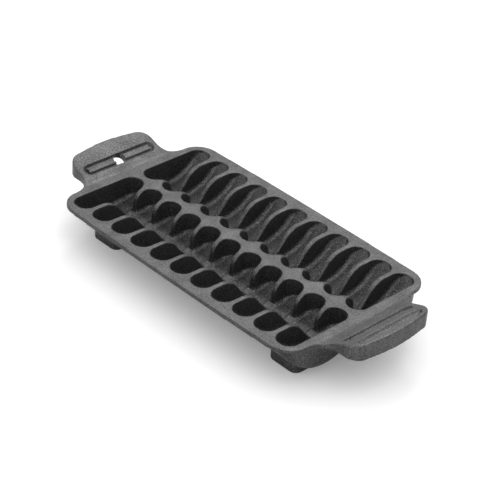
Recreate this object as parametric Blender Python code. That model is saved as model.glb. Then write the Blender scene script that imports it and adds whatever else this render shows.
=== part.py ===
# Shrimp grill pan: a cast tray with two rows of scooped wells, two raised handles and four feet.
# X runs along the pan towards the handle with two grooves, Y across the rows, and Z up from the table.
# All sizes are in metres.

import math

import bmesh
import bpy
from mathutils import Matrix, Vector

# Wells
WELLS_PER_ROW = 11
WELL_PITCH = 0.0216
WELL_WIDTH = 0.0177
WELL_LENGTH = 0.0621
WELL_DEPTH = 0.0208
FLOOR_RADIUS = 0.0379
BAR_WIDTH = 0.0058

# Walls and deck
WALL = 0.0049
END_WALL = 0.0045
DECK_HEIGHT = 0.0346
DECK_THICKNESS = 0.0036
SIDE_FLANGE = 0.0080
SIDE_BOW = 0.0014
END_FLANGE = 0.0024
CORNER_RADIUS = 0.0178
CORNER_OVERHANG = 0.0016
WINDOW_MARGIN = 0.0015
WINDOW_RADIUS = 0.0110
ROW_CORNER_RADIUS = 0.0240
SEAM_LEVEL = 0.0070

# Notch through the ridges between wells
NOTCH_INNER = 0.0179
NOTCH_FOOT = 0.0182
NOTCH_BOTTOM = 0.0245
NOTCH_OUTER = 0.0405
NOTCH_RAISE = 0.0004
NOTCH_INNER_RADIUS = 0.0110
NOTCH_FOOT_RADIUS = 0.0010
NOTCH_BOTTOM_RADIUS = 0.0026
NOTCH_OUTER_RADIUS = 0.0160

# Handles
HANDLE_REACH = 0.0334
HANDLE_WIDTH = 0.0768
HANDLE_BOW = 0.0024
TIP_SWELL = 0.0006
HANDLE_SLOPE = 0.38
SLOPE_RADIUS = 0.0100
CREST_INSET = 0.0085
CREST_RADIUS = 0.0200
TIP_SLOPE = 0.18
HANDLE_PLATE = 0.0060
LIP_TUCK = 0.0020
LIP_WIDTH = 0.0050
NECK_RADIUS = 0.0147
HANDLE_CORNER_RADIUS = 0.0120

# Grooves, slot and hanging hole
GROOVE_DEPTH = 0.0013
INNER_GROOVE_WIDTH = 0.0050
INNER_GROOVE_LENGTH = 0.0656
OUTER_GROOVE_WIDTH = 0.0064
OUTER_GROOVE_LENGTH = 0.0612
INNER_GROOVE_REACH = 0.0140
GROOVE_RIB = 0.0026
SLOT_WIDTH = 0.0092
SLOT_LENGTH = 0.0674
SLOT_DEPTH = 0.0015
SLOT_REACH = 0.0131
HOLE_DIAMETER = 0.0098

# Feet
FOOT_LENGTH = 0.0282
FOOT_WIDTH = 0.0260
FOOT_CORNER_RADIUS = 0.0060
FOOT_INSET = 0.0112
FOOT_OFFSET = 0.0354

# Room between pieces that touch, and how far a cutter runs past what it cuts
GAP = 0.0003
PAST = 0.0120
CLEAR = 0.00005

# Facets
SLOT_STEPS = 8
SCOOP_STEPS = 16
SHELL_STEPS = 14
CORNER_STEPS = 6
BOW_STEPS = 6

# Worked out from the sizes above
TOOL_RADIUS = WELL_WIDTH / 2
ARC_RISE = FLOOR_RADIUS - WELL_DEPTH
INNER_TIP = BAR_WIDTH / 2
OUTER_TIP = INNER_TIP + WELL_LENGTH
ARC_Y = OUTER_TIP - math.sqrt(FLOOR_RADIUS ** 2 - ARC_RISE ** 2)
ARC_Z = DECK_HEIGHT + ARC_RISE
OUTER_RADIUS = FLOOR_RADIUS + WALL
SEAM_RADIUS = FLOOR_RADIUS - TOOL_RADIUS + SEAM_LEVEL
NOTCH_SPLIT = (NOTCH_FOOT + NOTCH_BOTTOM) / 2
LAST_WELL = (WELLS_PER_ROW - 1) / 2 * WELL_PITCH
ROW_HALF = LAST_WELL + WELL_WIDTH / 2 + END_WALL
BAR_HALF = INNER_TIP + 0.4 * WALL
WINDOW_HALF = OUTER_TIP + 0.4 * WALL
WINDOW_END = LAST_WELL + WELL_WIDTH / 2 + WINDOW_MARGIN
HALF_WIDTH = OUTER_TIP + SIDE_FLANGE
RIM_END = ROW_HALF + END_FLANGE
DECK_END = ROW_HALF + CORNER_OVERHANG
SLOPE_START = RIM_END + GAP + CLEAR + SLOPE_RADIUS * math.tan(math.atan(HANDLE_SLOPE) / 2)
HANDLE_END = RIM_END + HANDLE_REACH
DECK_UNDER = DECK_HEIGHT - DECK_THICKNESS
LIP_BOTTOM = DECK_UNDER + LIP_TUCK

for old in list(bpy.data.objects):
    bpy.data.objects.remove(old, do_unlink=True)

pan = bpy.data.collections.new("shrimp_grill_pan")
cutters = bpy.data.collections.new("cutters")
bpy.context.scene.collection.children.link(pan)
bpy.context.scene.collection.children.link(cutters)


def cast_iron(name, shade):
    """A dull dark iron, a little lighter or darker from piece to piece."""
    made = bpy.data.materials.new(name)
    made.use_nodes = True
    shader = made.node_tree.nodes["Principled BSDF"]
    shader.inputs["Base Color"].default_value = (shade, shade, shade * 1.03, 1.0)
    shader.inputs["Roughness"].default_value = 0.62
    shader.inputs["Metallic"].default_value = 0.35
    return made


def rounded(corners, steps=CORNER_STEPS):
    """Points of a polygon whose corners (x, y, radius) are rounded with arcs."""
    points = []
    for index, (x, y, radius) in enumerate(corners):
        here = Vector((x, y))
        if radius <= 0:
            points.append(here)
            continue
        back = (Vector(corners[index - 1][:2]) - here).normalized()
        ahead = (Vector(corners[(index + 1) % len(corners)][:2]) - here).normalized()
        half = back.angle(ahead) / 2
        centre = here + (back + ahead).normalized() * radius / math.sin(half)
        start = here + back * radius / math.tan(half) - centre
        end = here + ahead * radius / math.tan(half) - centre
        turn = math.atan2(start.cross(end), start.dot(end))
        for step in range(steps + 1):
            angle = turn * step / steps
            cos, sin = math.cos(angle), math.sin(angle)
            points.append(centre + Vector((start.x * cos - start.y * sin, start.x * sin + start.y * cos)))
    return [tuple(point) for point in points]


def bowed(start, end, rise, steps=BOW_STEPS):
    """Points between two ends of an edge that swells by rise at its middle, to the left of its run."""
    a, b = Vector(start), Vector(end)
    side = Vector((a.y - b.y, b.x - a.x)).normalized()
    inner = (step / steps for step in range(1, steps))
    return [tuple(a.lerp(b, t) + side * rise * 4 * t * (1 - t)) for t in inner]


def flat_mesh(name, outline, low, high):
    """A flat outline in X and Y made solid from low to high in Z."""
    curve = bpy.data.curves.new(name, "CURVE")
    curve.dimensions = "2D"
    curve.fill_mode = "BOTH"
    curve.extrude = (high - low) / 2
    spline = curve.splines.new("POLY")
    spline.points.add(len(outline) - 1)
    for point, (x, y) in zip(spline.points, outline):
        point.co = (x, y, 0, 1)
    spline.use_cyclic_u = True
    drawn = bpy.data.objects.new(name, curve)
    bpy.context.scene.collection.objects.link(drawn)
    bpy.context.view_layer.update()
    mesh = bpy.data.meshes.new_from_object(drawn.evaluated_get(bpy.context.evaluated_depsgraph_get()))
    bpy.data.objects.remove(drawn)
    mesh.name = name
    shape = bmesh.new()
    shape.from_mesh(mesh)
    bmesh.ops.remove_doubles(shape, verts=shape.verts, dist=0.00001)
    bmesh.ops.translate(shape, verts=shape.verts, vec=(0, 0, (low + high) / 2))
    bmesh.ops.recalc_face_normals(shape, faces=shape.faces)
    shape.to_mesh(mesh)
    shape.free()
    return mesh


def section_mesh(name, outline, low, high):
    """A cross-section in Y and Z made solid from low to high in X."""
    mesh = flat_mesh(name, outline, low, high)
    mesh.transform(Matrix(((0, 0, 1, 0), (1, 0, 0, 0), (0, 1, 0, 0), (0, 0, 0, 1))))
    return mesh


def place(mesh, name, collection=pan, at=(0, 0, 0), turned=0.0, shade=0.09):
    """An object for a mesh, at a place and turned about the vertical."""
    thing = bpy.data.objects.new(name, mesh)
    thing.location = at
    thing.rotation_euler.z = turned
    collection.objects.link(thing)
    if collection is cutters:
        thing.hide_render = True
        thing.display_type = "WIRE"
    elif not mesh.materials:
        mesh.materials.append(cast_iron(name + "_iron", shade))
    return thing


def cut(thing, *tools):
    """Takes each tool out of a piece."""
    for tool in tools:
        carve = thing.modifiers.new("cut_" + tool.name, "BOOLEAN")
        carve.operation = "DIFFERENCE"
        carve.object = tool


def common(thing, tool):
    """Keeps only what a piece shares with a tool."""
    trim = thing.modifiers.new("within_" + tool.name, "BOOLEAN")
    trim.operation = "INTERSECT"
    trim.object = tool


def finished(thing):
    """The mesh of a piece with its cuts made, for pieces that share it."""
    bpy.context.view_layer.update()
    mesh = bpy.data.meshes.new_from_object(thing.evaluated_get(bpy.context.evaluated_depsgraph_get()))
    mesh.name = thing.name
    bpy.data.objects.remove(thing)
    return mesh


def smooth_by_angle(mesh, degrees=35):
    """Round faces shade smooth, and real edges stay sharp."""
    mesh.shade_smooth()
    mesh.set_sharp_from_angle(angle=math.radians(degrees))


def arc_point(radius, angle):
    """A point in Y and Z on a circle about the scoops' centre line, at an angle from straight down."""
    return ARC_Y + radius * math.sin(angle), ARC_Z - radius * math.cos(angle)


def arc_angle(radius, y=None, z=None):
    """Where such a circle passes a given Y, or a given Z on its outer side."""
    if y is not None:
        return math.asin((y - ARC_Y) / radius)
    return math.acos((ARC_Z - z) / radius)


def arc(radius, start, end, steps):
    """Points on such a circle from one angle to another."""
    return [arc_point(radius, start + (end - start) * step / steps) for step in range(steps + 1)]


def well_cutter_mesh():
    """The hollow of one well: an upright slot with round ends, over a floor that follows the scoop's curve."""
    inner = INNER_TIP - TOOL_RADIUS / 2
    low = arc_angle(FLOOR_RADIUS, y=inner)
    high = arc_angle(FLOOR_RADIUS, z=DECK_HEIGHT + PAST / 3)
    floor = arc(FLOOR_RADIUS, low, high, SCOOP_STEPS)
    section = floor + [(floor[-1][0], DECK_HEIGHT + PAST), (inner, DECK_HEIGHT + PAST)]
    scoop = place(section_mesh("well_cutter", section, -WELL_WIDTH, WELL_WIDTH), "scoop", cutters)
    round_end = TOOL_RADIUS * 0.999
    plan = rounded([(-TOOL_RADIUS, INNER_TIP, round_end), (TOOL_RADIUS, INNER_TIP, round_end),
                    (TOOL_RADIUS, OUTER_TIP, round_end), (-TOOL_RADIUS, OUTER_TIP, round_end)], SLOT_STEPS)
    slot = place(flat_mesh("well_plan", plan, 0, DECK_HEIGHT + 2 * PAST), "well_plan", cutters)
    common(scoop, slot)
    mesh = finished(scoop)
    bpy.data.objects.remove(slot)
    return mesh


def notch_cutter_mesh(half_length):
    """The notch through the ridges, with soft shoulders at the deck, run along X just above the floors."""
    deck = DECK_HEIGHT + CLEAR
    start = NOTCH_INNER - 1.1 * NOTCH_INNER_RADIUS
    end = NOTCH_OUTER + NOTCH_OUTER_RADIUS
    foot, bottom = (arc_point(FLOOR_RADIUS - NOTCH_RAISE, arc_angle(FLOOR_RADIUS, y=y))[1]
                    for y in (NOTCH_FOOT, NOTCH_BOTTOM))
    outline = rounded([(start, deck, 0), (NOTCH_INNER, deck, NOTCH_INNER_RADIUS),
                       (NOTCH_FOOT, foot, NOTCH_FOOT_RADIUS), (NOTCH_BOTTOM, bottom, NOTCH_BOTTOM_RADIUS),
                       (NOTCH_OUTER, deck, NOTCH_OUTER_RADIUS), (end, deck, 0),
                       (end, DECK_HEIGHT + PAST, 0), (start, DECK_HEIGHT + PAST, 0)])
    return section_mesh("notch_cutter", outline, -half_length, half_length)


def plan_corners():
    """The corners (x, y, radius) of a quarter of the pan's outline, from mid side to the handle's tip."""
    side_y = HALF_WIDTH - SIDE_BOW
    side_start, side_end = (0, HALF_WIDTH), (DECK_END - 1.05 * CORNER_RADIUS, side_y)
    side = [side_start] + bowed(side_start, side_end, SIDE_BOW / 4) + [side_end]
    tip_start = (HANDLE_END - HANDLE_BOW, HANDLE_WIDTH / 2 - HANDLE_CORNER_RADIUS)
    tip = [tip_start] + bowed(tip_start, (HANDLE_END, 0), TIP_SWELL)
    corners = [(x, y, 0) for x, y in side]
    corners += [(DECK_END, side_y - SIDE_BOW / 4, CORNER_RADIUS), (DECK_END, HANDLE_WIDTH / 2, NECK_RADIUS)]
    corners += [(HANDLE_END - HANDLE_BOW, HANDLE_WIDTH / 2, HANDLE_CORNER_RADIUS)]
    return corners + [(x, y, 0) for x, y in tip[1:]] + [(HANDLE_END, 0, 0)]


def plan_outline():
    """The outline of the whole pan seen from above."""
    quarter = plan_corners()
    right = quarter[:-1] + [(x, -y, radius) for x, y, radius in reversed(quarter)]
    left = [(-x, -y, radius) for x, y, radius in right]
    return rounded(right[:-1] + left[:-1])


def block(name, low, high):
    """A rectangular cutter between two corners."""
    bpy.ops.mesh.primitive_cube_add(size=1)
    made = bpy.context.object
    mesh = made.data
    bpy.data.objects.remove(made)
    middle = [(a + b) / 2 for a, b in zip(low, high)]
    size = [b - a for a, b in zip(low, high)]
    mesh.transform(Matrix.LocRotScale(middle, None, size))
    return place(mesh, name, cutters)


def side_profile_mesh(name, outline, half):
    """A profile in X and Z made solid from -half to half in Y."""
    mesh = flat_mesh(name, outline, -half, half)
    mesh.transform(Matrix(((1, 0, 0, 0), (0, 0, -1, 0), (0, 1, 0, 0), (0, 0, 0, 1))))
    return mesh


def round_rectangle(half_x, half_y, radius, steps=CORNER_STEPS):
    """A rectangle about the centre with round corners."""
    return rounded([(-half_x, -half_y, radius), (half_x, -half_y, radius),
                    (half_x, half_y, radius), (-half_x, half_y, radius)], steps)


# The rows fill a window in the deck, and their ends stay inside the deck's round corners.
window_plan = round_rectangle(WINDOW_END, WINDOW_HALF, WINDOW_RADIUS)
core_plan = round_rectangle(WINDOW_END - GAP, WINDOW_HALF - GAP, WINDOW_RADIUS - GAP)
window_tool = place(flat_mesh("window", window_plan, 0, 2 * DECK_HEIGHT), "window", cutters)
window_core = place(flat_mesh("window_core", core_plan, 0, 2 * DECK_HEIGHT), "window_core", cutters)
rim_room = place(flat_mesh("rim_room", round_rectangle(RIM_END, HALF_WIDTH, WINDOW_RADIUS),
                           DECK_UNDER - GAP, DECK_HEIGHT + PAST), "rim_room", cutters)
cut(rim_room, window_core)
row_plan = place(flat_mesh("row_plan", round_rectangle(ROW_HALF, WINDOW_HALF + WALL, ROW_CORNER_RADIUS),
                           -PAST, DECK_HEIGHT + PAST), "row_plan", cutters)

well_mesh = well_cutter_mesh()
well_tools = {}
for row, turned in (("far", 0.0), ("near", math.pi)):
    for number in range(WELLS_PER_ROW):
        x = (number - (WELLS_PER_ROW - 1) / 2) * WELL_PITCH
        tool = place(well_mesh, f"{row}_well_cutter_{number + 1:02d}", cutters, (x, 0, 0), turned)
        well_tools[row, number] = tool
left_well = place(well_mesh, "left_of_ridge_cutter", cutters, (-WELL_PITCH / 2, 0, 0))
right_well = place(well_mesh, "right_of_ridge_cutter", cutters, (WELL_PITCH / 2, 0, 0))
notch_tool = place(notch_cutter_mesh(LAST_WELL), "notch_cutter", cutters)


def seam_section(inner, outer):
    """The space above the shell between two distances from the pan's centre line."""
    radius = SEAM_RADIUS - GAP
    rim = arc_angle(radius, z=DECK_HEIGHT)
    low = arc_angle(radius, y=inner)
    high = min(rim, arc_angle(radius, y=outer)) if outer - ARC_Y < radius else rim
    points = arc(radius, low, high, SHELL_STEPS)
    if high < rim:
        points.append((outer, DECK_HEIGHT))
    points.append((inner, DECK_HEIGHT))
    return points


def ridge_halves():
    """The inner and outer fin that stand between two wells, on either side of the notch."""
    half = (WELL_PITCH - GAP) / 2
    meshes = []
    spans = ((BAR_HALF + GAP, NOTCH_SPLIT), (NOTCH_SPLIT, OUTER_TIP))
    for name, (inner, outer) in zip(("inner_fin", "outer_fin"), spans):
        fin = place(section_mesh(name, seam_section(inner, outer), -half, half), name)
        cut(fin, left_well, right_well, notch_tool)
        meshes.append(finished(fin))
    return meshes


inner_fin, outer_fin = ridge_halves()
for row, turned in (("far", 0.0), ("near", math.pi)):
    for number in range(WELLS_PER_ROW - 1):
        x = (number + 1 - (WELLS_PER_ROW - 1) / 2) * WELL_PITCH - WELL_PITCH / 2
        place(outer_fin, f"{row}_outer_fin_{number + 1:02d}", at=(x, 0, 0), turned=turned)
        place(inner_fin, f"{row}_inner_fin_{number + 1:02d}", at=(x, 0, 0), turned=turned)


def shell_section():
    """The scooped floor under one row, from the centre bar round to the deck's edge."""
    inner_low = arc_angle(SEAM_RADIUS, y=BAR_HALF + GAP)
    inner_high = arc_angle(SEAM_RADIUS, z=DECK_HEIGHT)
    outer_low = arc_angle(OUTER_RADIUS, y=BAR_HALF + GAP)
    outer_high = arc_angle(OUTER_RADIUS, z=DECK_UNDER - GAP)
    points = arc(SEAM_RADIUS, inner_low, inner_high, SHELL_STEPS)
    points.append((WINDOW_HALF - GAP, DECK_HEIGHT))
    points.append((WINDOW_HALF - GAP, DECK_UNDER - GAP))
    points += arc(OUTER_RADIUS, outer_high, outer_low, SHELL_STEPS)
    return points


shell = place(section_mesh("row_shell", shell_section(), -ROW_HALF, ROW_HALF), "row_shell")
common(shell, row_plan)
cut(shell, rim_room, notch_tool, *(well_tools["far", number] for number in range(WELLS_PER_ROW)))
row_shell = finished(shell)
place(row_shell, "far_row_shell")
place(row_shell, "near_row_shell", turned=math.pi)


def end_wall_mesh(side):
    """The wall that closes a row at one end, shaped to the last well."""
    name = "end_wall"
    outline = seam_section(BAR_HALF + GAP, OUTER_TIP)
    ends = sorted((side * (LAST_WELL + GAP / 2), side * ROW_HALF))
    wall = place(section_mesh(name, outline, *ends), name)
    common(wall, row_plan)
    cut(wall, rim_room, well_tools["far", WELLS_PER_ROW - 1 if side > 0 else 0])
    return finished(wall)


for side, end in ((1, "right"), (-1, "left")):
    wall_mesh = end_wall_mesh(side)
    place(wall_mesh, f"far_{end}_end_wall")
    other = "left" if end == "right" else "right"
    place(wall_mesh, f"near_{other}_end_wall", turned=math.pi)


def bar_section():
    """The bar between the rows, with the valley where the two shells meet underneath."""
    low = arc_angle(OUTER_RADIUS, y=0)
    high = arc_angle(OUTER_RADIUS, y=BAR_HALF)
    right = arc(OUTER_RADIUS, low, high, 2)
    left = [(-y, z) for y, z in reversed(right[1:])]
    return left + right + [(BAR_HALF, DECK_HEIGHT), (-BAR_HALF, DECK_HEIGHT)]


bar = place(section_mesh("centre_bar", bar_section(), -ROW_HALF, ROW_HALF), "centre_bar")
cut(bar, rim_room, *well_tools.values())


rim = place(flat_mesh("deck_rim", plan_outline(), DECK_UNDER, DECK_HEIGHT), "deck_rim", shade=0.1)
beyond = [block(f"beyond_deck_{side}", (low, -HANDLE_WIDTH, 0), (high, HANDLE_WIDTH, 2 * DECK_HEIGHT))
          for side, low, high in (("right", RIM_END, 2 * HANDLE_END), ("left", -2 * HANDLE_END, -RIM_END))]
cut(rim, window_tool, *beyond)

# The handles are hollow underneath, with a sloping top and a lip round three sides.
plan_mesh = flat_mesh("handle_plan", plan_outline(), 0, DECK_HEIGHT + HANDLE_REACH)
handle_plan = place(plan_mesh, "handle_plan", cutters)


def slope_point(x, drop=0.0):
    """A point on the handle's sloping top, or on a line drawn below it."""
    return x, DECK_HEIGHT + HANDLE_SLOPE * (x - SLOPE_START) - drop


def handle_mesh(name):
    """A handle reaching out along X, before its grooves or slot are cut."""
    start, far = RIM_END + GAP, HANDLE_END + PAST
    crest_x, crest_z = slope_point(HANDLE_END - CREST_INSET)
    corners = [(start, LIP_BOTTOM, 0), (far, LIP_BOTTOM, 0), (far, crest_z + TIP_SLOPE * (far - crest_x), 0)]
    corners += [(crest_x, crest_z, CREST_RADIUS), (SLOPE_START, DECK_HEIGHT, SLOPE_RADIUS)]
    corners += [(start, DECK_HEIGHT, 0)]
    handle = place(side_profile_mesh(name, rounded(corners), HANDLE_WIDTH), name)
    common(handle, handle_plan)
    cut(handle, pocket)
    return handle


pocket_start, pocket_end = SLOPE_START + LIP_WIDTH, HANDLE_END - LIP_WIDTH
pocket_outline = rounded([(pocket_start, LIP_BOTTOM - PAST, 0), (pocket_end, LIP_BOTTOM - PAST, 0),
                          (*slope_point(pocket_end, HANDLE_PLATE), 0.002),
                          (*slope_point(pocket_start, HANDLE_PLATE), 0)], 2)
pocket_half = HANDLE_WIDTH / 2 - 2 * LIP_WIDTH
pocket = place(side_profile_mesh("pocket", pocket_outline, pocket_half), "handle_pocket", cutters)
tilt = Matrix.Rotation(-math.atan(HANDLE_SLOPE), 4, "Y")


def on_slope(mesh, x):
    """Lays a cutter made about the origin on the handle's slope, over a place along X."""
    mesh.transform(Matrix.Translation((x, 0, slope_point(x)[1])) @ tilt)
    return mesh


def groove_cutter(name, x, width, length, depth):
    """A round-ended groove across the handle, laid on its slope."""
    half, straight = width / 2, length / 2 - width / 2
    radius = half * 0.999
    outline = rounded([(-half, -straight - half, radius), (half, -straight - half, radius),
                       (half, straight + half, radius), (-half, straight + half, radius)], 4)
    return place(on_slope(flat_mesh(name, outline, -depth, PAST), x), name, cutters)


inner_x = RIM_END + INNER_GROOVE_REACH
outer_x = inner_x + INNER_GROOVE_WIDTH / 2 + GROOVE_RIB + OUTER_GROOVE_WIDTH / 2
grooved = handle_mesh("grooved_handle")
cut(grooved, groove_cutter("inner_groove", inner_x, INNER_GROOVE_WIDTH, INNER_GROOVE_LENGTH, GROOVE_DEPTH),
    groove_cutter("outer_groove", outer_x, OUTER_GROOVE_WIDTH, OUTER_GROOVE_LENGTH, GROOVE_DEPTH))
place(finished(grooved), "grooved_handle")

slot_x = RIM_END + SLOT_REACH
hanging = handle_mesh("hanging_handle")
hole_mesh = flat_mesh("hanging_hole", [(HOLE_DIAMETER / 2 * math.cos(math.pi * k / 12),
                                        HOLE_DIAMETER / 2 * math.sin(math.pi * k / 12)) for k in range(24)],
                      -PAST * 2, PAST)
cut(hanging, groove_cutter("slot", slot_x, SLOT_WIDTH, SLOT_LENGTH, SLOT_DEPTH),
    place(on_slope(hole_mesh, slot_x), "hanging_hole", cutters))
place(finished(hanging), "hanging_handle", turned=math.pi)

# Each foot stands under the end of a row, cut to fit the round underside.
foot_x = ROW_HALF - FOOT_INSET - FOOT_LENGTH / 2
half_x, half_y = FOOT_LENGTH / 2, FOOT_WIDTH / 2
foot_outline = rounded([(-half_x, -half_y, FOOT_CORNER_RADIUS), (half_x, -half_y, FOOT_CORNER_RADIUS),
                        (half_x, half_y, FOOT_CORNER_RADIUS), (-half_x, half_y, FOOT_CORNER_RADIUS)], 4)
underside = arc(OUTER_RADIUS + GAP, -math.pi / 2, math.pi / 2, 2 * SHELL_STEPS)
row_tool = place(section_mesh("row_round", underside, -ROW_HALF, ROW_HALF), "row_round", cutters)
foot = place(flat_mesh("foot", foot_outline, 0, DECK_UNDER - DECK_THICKNESS), "foot",
             at=(foot_x, FOOT_OFFSET, 0))
bpy.context.view_layer.update()
foot.data.transform(foot.matrix_world)
foot.location = (0, 0, 0)
cut(foot, row_tool)
foot_mesh = finished(foot)
mirror_foot = foot_mesh.copy()
mirror_foot.transform(Matrix.Scale(-1, 4, (1, 0, 0)))
mirror_foot.flip_normals()
place(foot_mesh, "far_right_foot")
place(foot_mesh, "near_left_foot", turned=math.pi)
place(mirror_foot, "far_left_foot")
place(mirror_foot, "near_right_foot", turned=math.pi)

for thing in pan.objects:
    smooth_by_angle(thing.data)
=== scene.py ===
import math

import bmesh
import bpy
import numpy
from mathutils import Matrix, Vector


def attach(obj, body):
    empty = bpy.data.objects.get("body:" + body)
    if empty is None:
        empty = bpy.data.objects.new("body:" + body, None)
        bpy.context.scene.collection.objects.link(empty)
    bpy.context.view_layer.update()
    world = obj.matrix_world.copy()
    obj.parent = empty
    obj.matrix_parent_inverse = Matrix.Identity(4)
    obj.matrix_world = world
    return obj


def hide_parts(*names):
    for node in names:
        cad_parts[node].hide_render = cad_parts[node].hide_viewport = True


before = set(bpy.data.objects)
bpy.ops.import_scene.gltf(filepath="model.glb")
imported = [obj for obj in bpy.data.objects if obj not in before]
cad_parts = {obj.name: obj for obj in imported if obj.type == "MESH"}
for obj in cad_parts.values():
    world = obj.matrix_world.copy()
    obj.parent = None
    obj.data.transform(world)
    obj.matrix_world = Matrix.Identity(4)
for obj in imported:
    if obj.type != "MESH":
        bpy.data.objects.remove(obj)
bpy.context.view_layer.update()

# The deck is the flat plate on top of the pan, the part of the iron casting that carries both rows.
# Its long sides bow out a little, its corners are round, and its outline runs on into the two handles.
DECK_TOP = 0.0346
DECK_THICKNESS = 0.0036
DECK_END = 0.12295
DECK_SIDE = 0.0716
DECK_CORNER = 0.0178
SIDE_BOW = 0.0014
SIDE_BOW_END = 0.1043
NECK_RADIUS = 0.0147
HANDLE_SIDE = 0.0384
HANDLE_TIP = 0.15475
HANDLE_TIP_BOW = 0.0024
HANDLE_CORNER = 0.0120
BOW_CUTS = 12
CUT_DISTANCE = 0.000001
TOUCHING = 0.00001


def round_corner(shape, corner, back, ahead, radius, arc_steps):
    """Turns one corner of a flat outline into an arc."""
    here = Vector(corner)
    half = (Vector(back) - here).angle(Vector(ahead) - here) / 2
    vert = min(shape.verts, key=lambda candidate: (candidate.co.xy - here).length)
    bmesh.ops.bevel(shape, geom=[vert], offset=radius / math.tan(half), offset_type="OFFSET",
                    segments=arc_steps, profile=0.5, affect="VERTICES", material=-1)


def pattern_block(corners, low, high, arc_steps=12):
    """A flat outline with round corners (x, y, radius) made solid between two heights."""
    shape = bmesh.new()
    shape.faces.new([shape.verts.new((x, y, low)) for x, y, radius in corners])
    for index, (x, y, radius) in enumerate(corners):
        if radius:
            round_corner(shape, (x, y), corners[index - 1][:2],
                         corners[(index + 1) % len(corners)][:2], radius, arc_steps)
    raised = bmesh.ops.extrude_face_region(shape, geom=list(shape.faces))["geom"]
    lifted = [item for item in raised if isinstance(item, bmesh.types.BMVert)]
    bmesh.ops.translate(shape, verts=lifted, vec=(0, 0, high - low))
    bmesh.ops.recalc_face_normals(shape, faces=shape.faces)
    return shape


def cut_plane(shape, place, normal, clear_inner=False, clear_outer=False):
    """Cuts a pattern along a plane, and can clear away what lies on one side of it."""
    bmesh.ops.bisect_plane(shape, geom=list(shape.verts) + list(shape.edges) + list(shape.faces),
                           dist=CUT_DISTANCE, plane_co=place, plane_no=normal,
                           clear_inner=clear_inner, clear_outer=clear_outer)


def pan_block(low, high):
    """The whole outline of the pan, with both handles, made solid between two heights."""
    quarter = [(HANDLE_TIP, HANDLE_SIDE, HANDLE_CORNER), (DECK_END, HANDLE_SIDE, NECK_RADIUS),
               (DECK_END, DECK_SIDE, DECK_CORNER)]
    half = quarter + [(-x, y, radius) for x, y, radius in reversed(quarter)]
    whole = half + [(x, -y, radius) for x, y, radius in reversed(half)]
    shape = pattern_block(whole, low, high, 16)
    for number in range(1 - BOW_CUTS, BOW_CUTS):
        for normal, reach in (((1, 0, 0), SIDE_BOW_END), ((0, 1, 0), HANDLE_SIDE)):
            cut_plane(shape, Vector(normal) * reach * number / BOW_CUTS, normal)
    for vert in shape.verts:
        if abs(vert.co.y) > HANDLE_SIDE + NECK_RADIUS:
            vert.co.y += math.copysign(SIDE_BOW * (1 - (vert.co.x / SIDE_BOW_END) ** 2), vert.co.y)
        if abs(vert.co.x) > HANDLE_TIP - TOUCHING:
            share = vert.co.y / (HANDLE_SIDE - HANDLE_CORNER)
            vert.co.x += math.copysign(HANDLE_TIP_BOW * (1 - share ** 2), vert.co.x)
    return shape


def pattern(name, shape):
    """An object for a piece of the casting pattern, or for a core that leaves a hollow in it."""
    mesh = bpy.data.meshes.new(name)
    shape.to_mesh(mesh)
    shape.free()
    made = bpy.data.objects.new(name, mesh)
    bpy.context.scene.collection.objects.link(made)
    return made


deck_pattern = pattern("deck_pattern", pan_block(DECK_TOP - DECK_THICKNESS, DECK_TOP))

# Under the deck hang two troughs, one for each row. Each is half a cylinder of iron with flat ends,
# whose corners are round where they meet the deck's corners.
ROW_HALF = 0.12135
TROUGH_Y = 0.031177
TROUGH_Z = 0.0517
TROUGH_RADIUS = 0.0428
TROUGH_TOP = DECK_TOP - 0.0010
ROW_SIDE = 0.0718
ROW_CORNER = 0.0240
END_EDGE = 0.0018
CORE_MARGIN = 0.01


def soften_edges(shape, edges, size, segments):
    """Rounds the edges of a pattern, so that it draws from the sand."""
    bmesh.ops.bevel(shape, geom=edges, offset=size, offset_type="OFFSET", segments=segments, profile=0.5,
                    affect="EDGES", material=-1)


def fill_cut(shape):
    """Closes the opening that a cut has left in a pattern."""
    bmesh.ops.holes_fill(shape, edges=[edge for edge in shape.edges if edge.is_boundary], sides=0)


def combine(piece, other, operation):
    """Adds a pattern to another, takes a core out of it, or keeps what they share."""
    change = piece.modifiers.new(operation.lower() + "_" + other.name, "BOOLEAN")
    change.operation = operation
    change.object = other
    change.solver = "MANIFOLD"


row_ends = pattern("row_ends", pattern_block([(ROW_HALF, ROW_SIDE, ROW_CORNER),
                                              (-ROW_HALF, ROW_SIDE, ROW_CORNER),
                                              (-ROW_HALF, -ROW_SIDE, ROW_CORNER),
                                              (ROW_HALF, -ROW_SIDE, ROW_CORNER)],
                                             -CORE_MARGIN, DECK_TOP + CORE_MARGIN))
trough_patterns = []
for name, side in (("far_trough", 1), ("near_trough", -1)):
    trough = bmesh.new()
    bmesh.ops.create_cone(trough, cap_ends=True, segments=192, radius1=TROUGH_RADIUS,
                          radius2=TROUGH_RADIUS, depth=2 * ROW_HALF)
    end_rims = [edge for edge in trough.edges
                if abs(edge.verts[0].co.z - edge.verts[1].co.z) < TOUCHING]
    soften_edges(trough, end_rims, END_EDGE, 10)
    bmesh.ops.rotate(trough, verts=trough.verts, cent=(0, 0, 0),
                     matrix=Matrix.Rotation(math.pi / 2, 3, "Y"))
    bmesh.ops.translate(trough, verts=trough.verts, vec=(0, side * TROUGH_Y, TROUGH_Z))
    cut_plane(trough, (0, 0, TROUGH_TOP), (0, 0, 1), clear_outer=True)
    fill_cut(trough)
    bmesh.ops.recalc_face_normals(trough, faces=trough.faces)
    trough_pattern = pattern(name, trough)
    combine(trough_pattern, row_ends, "INTERSECT")
    trough_patterns.append(trough_pattern)

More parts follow.
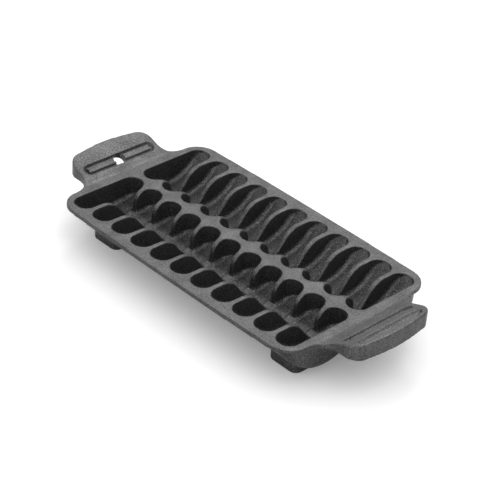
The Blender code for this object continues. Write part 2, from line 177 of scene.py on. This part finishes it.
# A handle rises outwards from each end of the deck. It is cast with the pan, has soft edges all round
# and a shallow hollow under it, and curves up out of the deck instead of meeting it at a crease.
HANDLE_START = 0.1160
HANDLE_END = 0.15715
HANDLE_STOCK = 0.05
LIP_BOTTOM = 0.0330
SLOPE_START = 0.12596
HANDLE_SLOPE = 0.38
SLOPE_BEND = 0.0026
CREST = HANDLE_END - 0.0085
CREST_BEND = 0.0040
TIP_SLOPE = 0.18
BEND_CUT = 0.0011
BEND_CUTS = 32
HANDLE_PLATE = 0.0060
LIP_WIDTH = 0.0050
SOFT_START = 0.12275
TOP_EDGE = 0.0016
LOWER_EDGE = 0.0016
HOLLOW_INNER_CORNER = 0.004
HOLLOW_OUTER_CORNER = 0.006


def bend(x, middle, length):
    """How far a line has run on past a bend, with the bend spread over a length."""
    share = min(max((x - middle) / length + 0.5, 0), 1)
    return length * share ** 2 / 2 + max(0, x - middle - length / 2)


def handle_top(x):
    """The height of a handle's top at a distance from the pan's middle."""
    rise = HANDLE_SLOPE * bend(x, SLOPE_START, SLOPE_BEND)
    return DECK_TOP + rise - (HANDLE_SLOPE - TIP_SLOPE) * bend(x, CREST, CREST_BEND)


def handle_rim(shape, upward):
    """The edges between the side of a handle and its top (1) or its underside (-1)."""
    found = []
    for edge in shape.edges:
        level_faces = [face for face in edge.link_faces if face.normal.z * upward > 0.5]
        if len(level_faces) == 1 and all(vert.co.x > SOFT_START for vert in edge.verts):
            found.append(edge)
    return found


def handle_block():
    """One handle reaching out along X, with soft edges."""
    shape = pan_block(LIP_BOTTOM, DECK_TOP + HANDLE_STOCK)
    cut_plane(shape, (HANDLE_START, 0, 0), (1, 0, 0), clear_inner=True)
    for number in range(BEND_CUTS):
        cut_plane(shape, (SLOPE_START - 2 * BEND_CUT + BEND_CUT * number, 0, 0), (1, 0, 0))
    fill_cut(shape)
    for vert in shape.verts:
        if vert.co.z > DECK_TOP:
            vert.co.z = handle_top(vert.co.x)
    bmesh.ops.recalc_face_normals(shape, faces=shape.faces)
    top_rim = handle_rim(shape, 1)
    lower_rim = handle_rim(shape, -1)
    soften_edges(shape, top_rim, TOP_EDGE, 4)
    soften_edges(shape, lower_rim, LOWER_EDGE, 4)
    bmesh.ops.recalc_face_normals(shape, faces=shape.faces)
    return shape


def hollow_block():
    """The core of the hollow under a handle, with its roof parallel to the handle's slope."""
    near, far = SLOPE_START + LIP_WIDTH, HANDLE_END - LIP_WIDTH
    half = HANDLE_SIDE - 2 * LIP_WIDTH
    shape = pattern_block([(near, -half, HOLLOW_INNER_CORNER), (far, -half, HOLLOW_OUTER_CORNER),
                           (far, half, HOLLOW_OUTER_CORNER), (near, half, HOLLOW_INNER_CORNER)],
                          0, DECK_TOP, 6)
    for vert in shape.verts:
        if vert.co.z > DECK_TOP / 2:
            vert.co.z = DECK_TOP + HANDLE_SLOPE * (vert.co.x - SLOPE_START) - HANDLE_PLATE
    return shape


handle_patterns = []
hollow_cores = []
for made, block, names in (
        (handle_patterns, handle_block, ("grooved_handle_pattern", "hanging_handle_pattern")),
        (hollow_cores, hollow_block, ("right_hollow_core", "left_hollow_core"))):
    for name, turned in zip(names, (0, math.pi)):
        shape = block()
        bmesh.ops.rotate(shape, verts=shape.verts, cent=(0, 0, 0), matrix=Matrix.Rotation(turned, 3, "Z"))
        made.append(pattern(name, shape))

# Four feet stand under the ends of the rows. They are solid blocks cast on to the round underside,
# with soft corners and a flat sole.
FOOT_X = 0.09605
FOOT_Y = 0.0354
FOOT_LENGTH = 0.0282
FOOT_WIDTH = 0.0260
FOOT_CORNER = 0.0060
FOOT_TOP = 0.0274
SOLE_EDGE = 0.0010
foot_patterns = []
for row, y in (("far", FOOT_Y), ("near", -FOOT_Y)):
    for end, x in (("right", FOOT_X), ("left", -FOOT_X)):
        foot = pattern_block([(-FOOT_LENGTH / 2, -FOOT_WIDTH / 2, FOOT_CORNER),
                              (FOOT_LENGTH / 2, -FOOT_WIDTH / 2, FOOT_CORNER),
                              (FOOT_LENGTH / 2, FOOT_WIDTH / 2, FOOT_CORNER),
                              (-FOOT_LENGTH / 2, FOOT_WIDTH / 2, FOOT_CORNER)], 0, FOOT_TOP, 8)
        sole = [edge for edge in foot.edges if all(vert.co.z < TOUCHING for vert in edge.verts)]
        soften_edges(foot, sole, SOLE_EDGE, 3)
        bmesh.ops.translate(foot, verts=foot.verts, vec=(x, y, 0))
        foot_patterns.append(pattern(f"{row}_{end}_foot_pattern", foot))

# Twenty-two wells are scooped out of the deck, eleven in each row. Each is an upright slot with round
# ends and a floor that curves up to the outer side, with soft corners along it. Near the bar the floor
# stays low for longer, so that the wall there is steep.
WELLS = 11
WELL_PITCH = 0.0216
WELL_HALF = 0.00885
WELL_ROUND = WELL_HALF * 0.999
WELL_START = 0.0029
WELL_END = 0.0650
WELL_STOCK = 0.012
LAST_WELL = 0.1080
FLOOR_RADIUS = 0.0379
SCOOP_HEIGHT = 0.0350
FLOOR_CORNER = 0.0040
FLOOR_SPREAD = math.radians(76)
SCOOP_MARGIN = 0.0001
INNER_DROP = 0.0042
DROP_START = 0.0200
DROP_END = 0.0060
slot_shape = pattern_block([(WELL_HALF, WELL_START, WELL_ROUND), (WELL_HALF, WELL_END, WELL_ROUND),
                            (-WELL_HALF, WELL_END, WELL_ROUND), (-WELL_HALF, WELL_START, WELL_ROUND)],
                           0, DECK_TOP + WELL_STOCK, 20)
slot_core = pattern("well_slot", slot_shape)
scoop = bmesh.new()
wide = WELL_HALF + SCOOP_MARGIN
top = FLOOR_RADIUS - SCOOP_HEIGHT
section = [(wide, -top), (wide, -FLOOR_RADIUS), (-wide, -FLOOR_RADIUS), (-wide, -top)]
scoop.faces.new([scoop.verts.new((x, 0, z)) for x, z in section])
for x in (wide, -wide):
    corner = min(scoop.verts, key=lambda vert: (vert.co - Vector((x, 0, -FLOOR_RADIUS))).length)
    bmesh.ops.bevel(scoop, geom=[corner], offset=FLOOR_CORNER, offset_type="OFFSET", segments=8,
                    profile=0.5, affect="VERTICES", material=-1)
bmesh.ops.rotate(scoop, verts=scoop.verts, cent=(0, 0, 0), matrix=Matrix.Rotation(-FLOOR_SPREAD, 3, "X"))
bmesh.ops.translate(scoop, verts=scoop.verts, vec=(0, TROUGH_Y, TROUGH_Z))
bmesh.ops.spin(scoop, geom=list(scoop.faces), cent=(0, TROUGH_Y, TROUGH_Z), axis=(1, 0, 0),
               dvec=(0, 0, 0), angle=2 * FLOOR_SPREAD, steps=120)
bmesh.ops.recalc_face_normals(scoop, faces=scoop.faces)
one_well = pattern("one_well", scoop)
combine(one_well, slot_core, "INTERSECT")
bpy.context.view_layer.update()
well = bmesh.new()
well.from_object(one_well, bpy.context.evaluated_depsgraph_get())
bpy.data.objects.remove(one_well)
bpy.data.objects.remove(slot_core)
for vert in well.verts:
    if vert.co.z < DECK_TOP and vert.co.y < DROP_START:
        share = min(1.0, (DROP_START - vert.co.y) / (DROP_START - DROP_END))
        vert.co.z -= INNER_DROP * share ** 2 * (3 - 2 * share)
first_well = list(well.verts) + list(well.edges) + list(well.faces)
bmesh.ops.translate(well, verts=well.verts, vec=(-LAST_WELL, 0, 0))
for number in range(1, WELLS):
    copied = bmesh.ops.duplicate(well, geom=first_well)["geom"]
    bmesh.ops.translate(well, verts=[item for item in copied if isinstance(item, bmesh.types.BMVert)],
                        vec=(number * WELL_PITCH, 0, 0))
far_wells = pattern("far_well_cores", well)
near_wells = far_wells.copy()
near_wells.data = far_wells.data.copy()
near_wells.data.transform(Matrix.Rotation(math.pi, 4, "Z"))
bpy.context.scene.collection.objects.link(near_wells)

# A notch runs along each row, across the wells, and parts all ten ridges. It is cast in with the wells.
# Its sides ease out on to the deck, and a narrow round valley is left at its bottom.
NOTCH_TOP = DECK_TOP + 0.00005
NOTCH_STOCK = 0.012
NOTCH_INNER = 0.0058
NOTCH_OUTER = 0.0565

# The outline is drawn flat. This turns its X across the pan, its Y upwards and its height along the row.
STAND_UP = Matrix(((0, 0, 1, 0), (1, 0, 0, 0), (0, 1, 0, 0), (0, 0, 0, 1)))
notch_cores = []
for name, turned in (("far_notch_core", 0), ("near_notch_core", math.pi)):
    notch = pattern_block([(NOTCH_INNER, NOTCH_TOP, 0), (0.0179, NOTCH_TOP, 0.0110),
                           (0.0182, 0.0166, 0.0010), (0.0245, 0.0149, 0.0026),
                           (0.0405, NOTCH_TOP, 0.0160), (NOTCH_OUTER, NOTCH_TOP, 0),
                           (NOTCH_OUTER, NOTCH_TOP + NOTCH_STOCK, 0),
                           (NOTCH_INNER, NOTCH_TOP + NOTCH_STOCK, 0)], -LAST_WELL, LAST_WELL, 16)
    bmesh.ops.transform(notch, verts=notch.verts, matrix=STAND_UP)
    if turned:
        bmesh.ops.rotate(notch, verts=notch.verts, cent=(0, 0, 0), matrix=Matrix.Rotation(turned, 3, "Z"))
    notch_cores.append(pattern(name, notch))

# The right handle has two grooves across it with a thin rib between them, and the left one a slot with
# a hole for a hook. They are cast in, so their edges are a little soft.
SLOT_X = 0.13685
HOLE_RADIUS = 0.0049
HOLE_DEPTH = 0.04


def on_slope(x, turned=0.0):
    """The place on a handle's slope at a distance from the pan's middle, with Z square to the slope."""
    tilt = Matrix.Rotation(-math.atan(HANDLE_SLOPE), 4, "Y")
    spot = Matrix.Translation((x, 0, DECK_TOP + HANDLE_SLOPE * (x - SLOPE_START)))
    return Matrix.Rotation(turned, 4, "Z") @ spot @ tilt


def round_groove(name, x, width, length, depth, turned=0.0):
    """A core for a groove with a round bottom and round ends, laid on the slope of a handle."""
    radius = (width ** 2 / 4 + depth ** 2) / (2 * depth)
    shape = bmesh.new()
    bmesh.ops.create_uvsphere(shape, u_segments=32, v_segments=24, radius=radius)
    bmesh.ops.rotate(shape, verts=shape.verts, cent=(0, 0, 0), matrix=Matrix.Rotation(math.pi / 2, 3, "X"))
    straight = length / 2 - width / 2
    for vert in shape.verts:
        if abs(vert.co.y) > TOUCHING:
            vert.co.y += math.copysign(straight, vert.co.y)
    shape.transform(on_slope(x, turned) @ Matrix.Translation((0, 0, radius - depth)))
    return pattern(name, shape)


groove_cores = [
    round_groove("inner_groove_core", x=0.1378, width=0.0052, length=0.0656, depth=0.0031),
    round_groove("outer_groove_core", x=0.1482, width=0.0064, length=0.0612, depth=0.0030),
    round_groove("slot_core", x=SLOT_X, width=0.0098, length=0.0680, depth=0.0036, turned=math.pi)]
hole = bmesh.new()
bmesh.ops.create_cone(hole, cap_ends=True, segments=48, radius1=HOLE_RADIUS, radius2=HOLE_RADIUS,
                      depth=HOLE_DEPTH)
hole.transform(on_slope(SLOT_X, math.pi))
hole_core = pattern("hanging_hole_core", hole)

# A low double bar stands in the slot, on both sides of the hole, with a fine line between its halves.
# It is cast with the handle and stays just below its top.
BAR_REACH = 0.0308
BAR_HALF = 0.00105
BAR_APART = 0.00145
BAR_CORNER = 0.0010
BAR_BOTTOM = -0.0044
BAR_TOP = -0.0002
slot_bars = []
for name, x in (("slot_bar_inner_side", -BAR_APART), ("slot_bar_outer_side", BAR_APART)):
    bar = pattern_block([(x + BAR_HALF, -BAR_REACH, BAR_CORNER), (x + BAR_HALF, BAR_REACH, BAR_CORNER),
                         (x - BAR_HALF, BAR_REACH, BAR_CORNER), (x - BAR_HALF, -BAR_REACH, BAR_CORNER)],
                        BAR_BOTTOM, BAR_TOP, 6)
    bar.transform(on_slope(SLOT_X, math.pi))
    slot_bars.append(pattern(name, bar))

# The pan is poured in one go in sand. The mould softens each edge, the skin takes up the grain of the
# sand, and nothing is machined afterwards.
VOXEL = 0.00050
MOST_TRIANGLES = 196000
FIT_SCALE = 0.9998
FIT_LIFT = 0.000004
BODY_END = 0.1275
RIDGE_END = LAST_WELL - 0.004
RIDGE_SIDES = (0.009, 0.052)
RIDGE_FOOT = 0.0135
CORNER_START = 0.1030
CORNER_SIDE = 0.0480
CORNER_HEIGHTS = (0.0080, 0.0316)
RIM_SIDE = 0.0352
RIM_TIP = 0.1542
added = trough_patterns + handle_patterns + foot_patterns
taken = hollow_cores + [far_wells, near_wells] + notch_cores + groove_cores
for piece in added:
    combine(deck_pattern, piece, "UNION")
for core in taken:
    combine(deck_pattern, core, "DIFFERENCE")
for bar in slot_bars:
    combine(deck_pattern, bar, "UNION")
combine(deck_pattern, hole_core, "DIFFERENCE")
sand_mould = deck_pattern.modifiers.new("sand_mould", "REMESH")
sand_mould.mode = "VOXEL"
sand_mould.voxel_size = VOXEL
sand_mould.use_smooth_shade = True


def finished_mesh(piece):
    """A mesh of a piece with all its modifiers carried out."""
    bpy.context.view_layer.update()
    return bpy.data.meshes.new_from_object(piece.evaluated_get(bpy.context.evaluated_depsgraph_get()))


poured = finished_mesh(deck_pattern)
casting = bpy.data.objects.new("grill_pan_casting", poured)
bpy.context.scene.collection.objects.link(casting)
for piece in [deck_pattern, row_ends, hole_core] + added + taken + slot_bars:
    bpy.data.objects.remove(piece, do_unlink=True)

# Some places are softened more than others: the body, the tops of the ridges, the rows' corners under
# the deck, and the rims of the handles.
spots = numpy.empty(len(poured.vertices) * 3)
poured.vertices.foreach_get("co", spots)
spots = spots.reshape(-1, 3)
along = numpy.abs(spots[:, 0])
across = numpy.abs(spots[:, 1])
height = spots[:, 2]
body = along < BODY_END
ridges = (along < RIDGE_END) & (across > RIDGE_SIDES[0]) & (across < RIDGE_SIDES[1]) & (height > RIDGE_FOOT)
row_corners = (along > CORNER_START) & (across > CORNER_SIDE)
row_corners &= (height > CORNER_HEIGHTS[0]) & (height < CORNER_HEIGHTS[1])
handle_rims = (along > BODY_END) & ((across > RIM_SIDE) | (along > RIM_TIP))
for name, rounds, chosen in (("soft_edges", 1, None), ("soft_body", 3, body), ("round_ridges", 9, ridges),
                             ("row_corners", 60, row_corners), ("handle_rims", 10, handle_rims)):
    soften = casting.modifiers.new(name, "SMOOTH")
    soften.factor = 0.5
    soften.iterations = rounds
    if chosen is not None:
        group = casting.vertex_groups.new(name=name)
        group.add(numpy.nonzero(chosen)[0].tolist(), 1.0, "REPLACE")
        soften.vertex_group = name
thin = casting.modifiers.new("thin", "DECIMATE")
thin.ratio = min(1.0, MOST_TRIANGLES / (2 * len(poured.polygons)))
cast_mesh = finished_mesh(casting)
casting.modifiers.clear()
casting.vertex_groups.clear()
casting.data = cast_mesh
cast_mesh.shade_smooth()

# The casting is made a hair smaller, so that its softened skin stays inside the box of the solids.
cast_mesh.transform(Matrix.Translation((0, 0, FIT_LIFT)) @ Matrix.Scale(FIT_SCALE, 4))

# The iron keeps the skin of the sand. It is fine on the deck, coarser on the handles, and in the wells
# small bright grains stand out of dark metal. Below the deck, between the row ends, in the wells and on
# the troughs' sides, the tone is darkened as painted shade. Broad patches are a little duller or shinier.
FINE_RANGE = (0.38, 0.62)
FINE_TONE = (0.022, 0.116)
PATCH_RANGE = (0.35, 0.65)
PATCH_TONE = (-0.009, 0.011)
GRAIN_RANGE = (0.52, 0.68)
GRAIN_TONE = 0.10
# Painted shade: below the deck, in the wells and on the troughs' sides, the tone is multiplied by this.
WELL_SHADE_TONE = 0.60
SHEEN_RANGE = (0.35, 0.65)
FINE_ROUGHNESS = (0.34, 0.50)
PATCH_ROUGHNESS = (0.05, -0.05)
COARSE_SIZE = 0.90
FINE_HEIGHT = 0.8
COARSE_HEIGHT = 1.6
SMOOTH_SKIN = 0.12
HANDLE_SKIN = 0.75
SMOOTH_FROM = (DECK_TOP - 0.0060, DECK_TOP - 0.0016)
HANDLE_FROM = (0.1240, 0.1300)
WELLS_UP_TO = (0.1180, 0.1188)
FLOORS_UP_TO = (0.0115, 0.0130)
skin_group = bpy.data.node_groups.new("sand_cast_skin", "ShaderNodeTree")
# One of these inputs darkens the tone as painted shade, from 0 (none) to 1 (full).
for name, kind, start in (("Place", "NodeSocketVector", None), ("Coarse", "NodeSocketFloat", 0.0),
                          ("Painted Shade", "NodeSocketFloat", 0.0), ("Grain Size", "NodeSocketFloat", 1250.0),
                          ("Patch Size", "NodeSocketFloat", 60.0)):
    socket = skin_group.interface.new_socket(name, in_out="INPUT", socket_type=kind)
    if start is not None:
        socket.default_value = start
for name in ("Tone", "Roughness", "Height"):
    skin_group.interface.new_socket(name, in_out="OUTPUT", socket_type="NodeSocketFloat")
given = skin_group.nodes.new("NodeGroupInput")
result = skin_group.nodes.new("NodeGroupOutput")


def cloud(size, detail):
    """A cloudy texture of one size in the skin."""
    texture = skin_group.nodes.new("ShaderNodeTexNoise")
    texture.inputs["Detail"].default_value = detail
    texture.inputs["Roughness"].default_value = 0.6
    skin_group.links.new(given.outputs["Place"], texture.inputs["Vector"])
    skin_group.links.new(size, texture.inputs["Scale"])
    return texture.outputs["Fac"]


def stretch(tree, value, source, target):
    """Maps one range of a value on to another, without running past its ends."""
    mapped = tree.nodes.new("ShaderNodeMapRange")
    tree.links.new(value, mapped.inputs["Value"])
    for name, number in zip(("From Min", "From Max", "To Min", "To Max"), source + target):
        mapped.inputs[name].default_value = number
    return mapped.outputs["Result"]


def arithmetic(tree, operation, first, second):
    """Joins two values, or a value and a number."""
    joined = tree.nodes.new("ShaderNodeMath")
    joined.operation = operation
    tree.links.new(first, joined.inputs[0])
    if isinstance(second, (int, float)):
        joined.inputs[1].default_value = second
    else:
        tree.links.new(second, joined.inputs[1])
    return joined.outputs["Value"]


fine = cloud(given.outputs["Grain Size"], 3.0)
rough_size = arithmetic(skin_group, "MULTIPLY", given.outputs["Grain Size"], COARSE_SIZE)
rough = cloud(rough_size, 2.0)
patches = cloud(given.outputs["Patch Size"], 3.0)
grains = arithmetic(skin_group, "MULTIPLY", stretch(skin_group, rough, GRAIN_RANGE, (0.0, 1.0)),
                    given.outputs["Coarse"])
bare_tone = arithmetic(skin_group, "ADD", stretch(skin_group, fine, FINE_RANGE, FINE_TONE),
                       stretch(skin_group, patches, PATCH_RANGE, PATCH_TONE))
# Painted shade: where that input is 1, the tone is darkened to the share set above.
painted_shade = stretch(skin_group, given.outputs["Painted Shade"], (0.0, 1.0), (1.0, WELL_SHADE_TONE))
shaded_tone = arithmetic(skin_group, "MULTIPLY", bare_tone, painted_shade)
tone = arithmetic(skin_group, "ADD", shaded_tone, arithmetic(skin_group, "MULTIPLY", grains, GRAIN_TONE))
skin_group.links.new(tone, result.inputs["Tone"])
dullness = arithmetic(skin_group, "ADD", stretch(skin_group, fine, SHEEN_RANGE, FINE_ROUGHNESS),
                      stretch(skin_group, patches, PATCH_RANGE, PATCH_ROUGHNESS))
skin_group.links.new(dullness, result.inputs["Roughness"])
coarse_height = arithmetic(skin_group, "MULTIPLY", given.outputs["Coarse"], COARSE_HEIGHT)
coarse_bumps = arithmetic(skin_group, "MULTIPLY", rough, coarse_height)
fine_bumps = arithmetic(skin_group, "MULTIPLY", fine, FINE_HEIGHT)
skin_group.links.new(arithmetic(skin_group, "ADD", fine_bumps, coarse_bumps), result.inputs["Height"])

cast_iron = bpy.data.materials.new("cast_iron")
cast_iron.use_nodes = True
iron = cast_iron.node_tree
shader = iron.nodes["Principled BSDF"]
shader.inputs["Metallic"].default_value = 0.70
where = iron.nodes.new("ShaderNodeTexCoord")
skin = iron.nodes.new("ShaderNodeGroup")
skin.node_tree = skin_group
iron.links.new(where.outputs["Object"], skin.inputs["Place"])
parted = iron.nodes.new("ShaderNodeSeparateXYZ")
iron.links.new(where.outputs["Object"], parted.inputs["Vector"])
outwards = arithmetic(iron, "ABSOLUTE", parted.outputs["X"], 0.0)
below_deck = stretch(iron, parted.outputs["Z"], SMOOTH_FROM, (1.0, SMOOTH_SKIN))
on_handle = stretch(iron, outwards, HANDLE_FROM, (SMOOTH_SKIN, HANDLE_SKIN))
# This mask picks out what lies below the deck, between the row ends and above the floors, where the tone is
# darkened as painted shade.
between_ends = stretch(iron, outwards, WELLS_UP_TO, (1.0, 0.0))
above_floors = stretch(iron, parted.outputs["Z"], FLOORS_UP_TO, (0.0, 1.0))
well_shade_mask = arithmetic(iron, "MULTIPLY", between_ends, above_floors)
iron.links.new(arithmetic(iron, "MAXIMUM", below_deck, on_handle), skin.inputs["Coarse"])
iron.links.new(arithmetic(iron, "MULTIPLY", below_deck, well_shade_mask), skin.inputs["Painted Shade"])
iron.links.new(skin.outputs["Tone"], shader.inputs["Base Color"])
iron.links.new(skin.outputs["Roughness"], shader.inputs["Roughness"])
bump = iron.nodes.new("ShaderNodeBump")
bump.inputs["Strength"].default_value = 0.60
bump.inputs["Distance"].default_value = 0.0003
iron.links.new(skin.outputs["Height"], bump.inputs["Height"])
iron.links.new(bump.outputs["Normal"], shader.inputs["Normal"])
cast_mesh.materials.clear()
cast_mesh.materials.append(cast_iron)
cad_nodes = ["deck_rim", "centre_bar", "grooved_handle", "hanging_handle"]
for row in ("far", "near"):
    cad_nodes.append(f"{row}_row_shell")
    for end in ("left", "right"):
        cad_nodes += [f"{row}_{end}_end_wall", f"{row}_{end}_foot"]
    for number in range(1, WELLS):
        cad_nodes += [f"{row}_inner_fin_{number:02d}", f"{row}_outer_fin_{number:02d}"]
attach(casting, "root")
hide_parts(*cad_nodes)

# The pan stands on a plain white sheet of paper. The paper shines a little to the camera alone, so that
# it stays white there without lighting the pan.
PAPER_HALF = 3.0
PAPER_GLOW = 0.21
flat_paper = bmesh.new()
bmesh.ops.create_grid(flat_paper, x_segments=1, y_segments=1, size=PAPER_HALF)
paper = pattern("white_paper", flat_paper)
white = bpy.data.materials.new("white_paper")
white.use_nodes = True
coating = white.node_tree
shader = coating.nodes["Principled BSDF"]
shader.inputs["Base Color"].default_value = (0.86, 0.86, 0.86, 1)
shader.inputs["Roughness"].default_value = 0.9
shader.inputs["Specular IOR Level"].default_value = 0.0
shader.inputs["Emission Color"].default_value = (1, 1, 1, 1)
ray = coating.nodes.new("ShaderNodeLightPath")
glow = arithmetic(coating, "MULTIPLY", ray.outputs["Is Camera Ray"], PAPER_GLOW)
coating.links.new(glow, shader.inputs["Emission Strength"])
paper.data.materials.append(white)

# A broad soft light hangs over the pan and a weak narrow one stands behind it on the left. The room is
# bright where the camera or a shine in the iron looks at it, and otherwise dim, so that shadows hold.
ROOM_DIM = 0.13
ROOM_BRIGHT = 0.85
scene = bpy.context.scene
scene.view_settings.view_transform = "Standard"
room = bpy.data.worlds.new("studio")
scene.world = room
room.use_nodes = True
air = room.node_tree
background = air.nodes["Background"]
background.inputs["Color"].default_value = (1, 1, 1, 1)
ray = air.nodes.new("ShaderNodeLightPath")
looked_at = arithmetic(air, "MAXIMUM", ray.outputs["Is Camera Ray"], ray.outputs["Is Glossy Ray"])
brightness = stretch(air, looked_at, (0.0, 1.0), (ROOM_DIM, ROOM_BRIGHT))
air.links.new(brightness, background.inputs["Strength"])
for name, towards, spread, strength in (("overhead", (0.0, 0.0, 1.0), 120, 3.10),
                                        ("back_left", (-0.55, 0.75, 1.0), 14, 0.40)):
    light = bpy.data.lights.new(name, "SUN")
    light.energy = strength
    light.angle = math.radians(spread)
    lamp = bpy.data.objects.new(name, light)
    lamp.rotation_euler = Vector(towards).to_track_quat("Z", "Y").to_euler()
    scene.collection.objects.link(lamp)

# The camera stands off the near right corner of the pan and looks down at it through a long lens. Its
# place and its angles, with a little roll, were fitted to the photograph.
CAMERA_PLACE = (0.7525, -0.7674, 0.7372)
CAMERA_TURN = math.radians(44.03)
CAMERA_LIFT = math.radians(33.47)
CAMERA_ROLL = math.radians(4.69)
back = Vector((math.sin(CAMERA_TURN) * math.cos(CAMERA_LIFT),
               -math.cos(CAMERA_TURN) * math.cos(CAMERA_LIFT), math.sin(CAMERA_LIFT)))
right = Vector((math.cos(CAMERA_TURN), math.sin(CAMERA_TURN), 0))
up = back.cross(right)
rolled_right = math.cos(CAMERA_ROLL) * right + math.sin(CAMERA_ROLL) * up
rolled_up = math.cos(CAMERA_ROLL) * up - math.sin(CAMERA_ROLL) * right
lens = bpy.data.cameras.new("camera")
lens.lens = 127.1
lens.sensor_width = 36.0
lens.clip_start = 0.01
camera = bpy.data.objects.new("camera", lens)
turned_axes = Matrix((rolled_right, rolled_up, back)).transposed().to_4x4()
camera.matrix_world = Matrix.Translation(CAMERA_PLACE) @ turned_axes
scene.collection.objects.link(camera)
scene.camera = camera
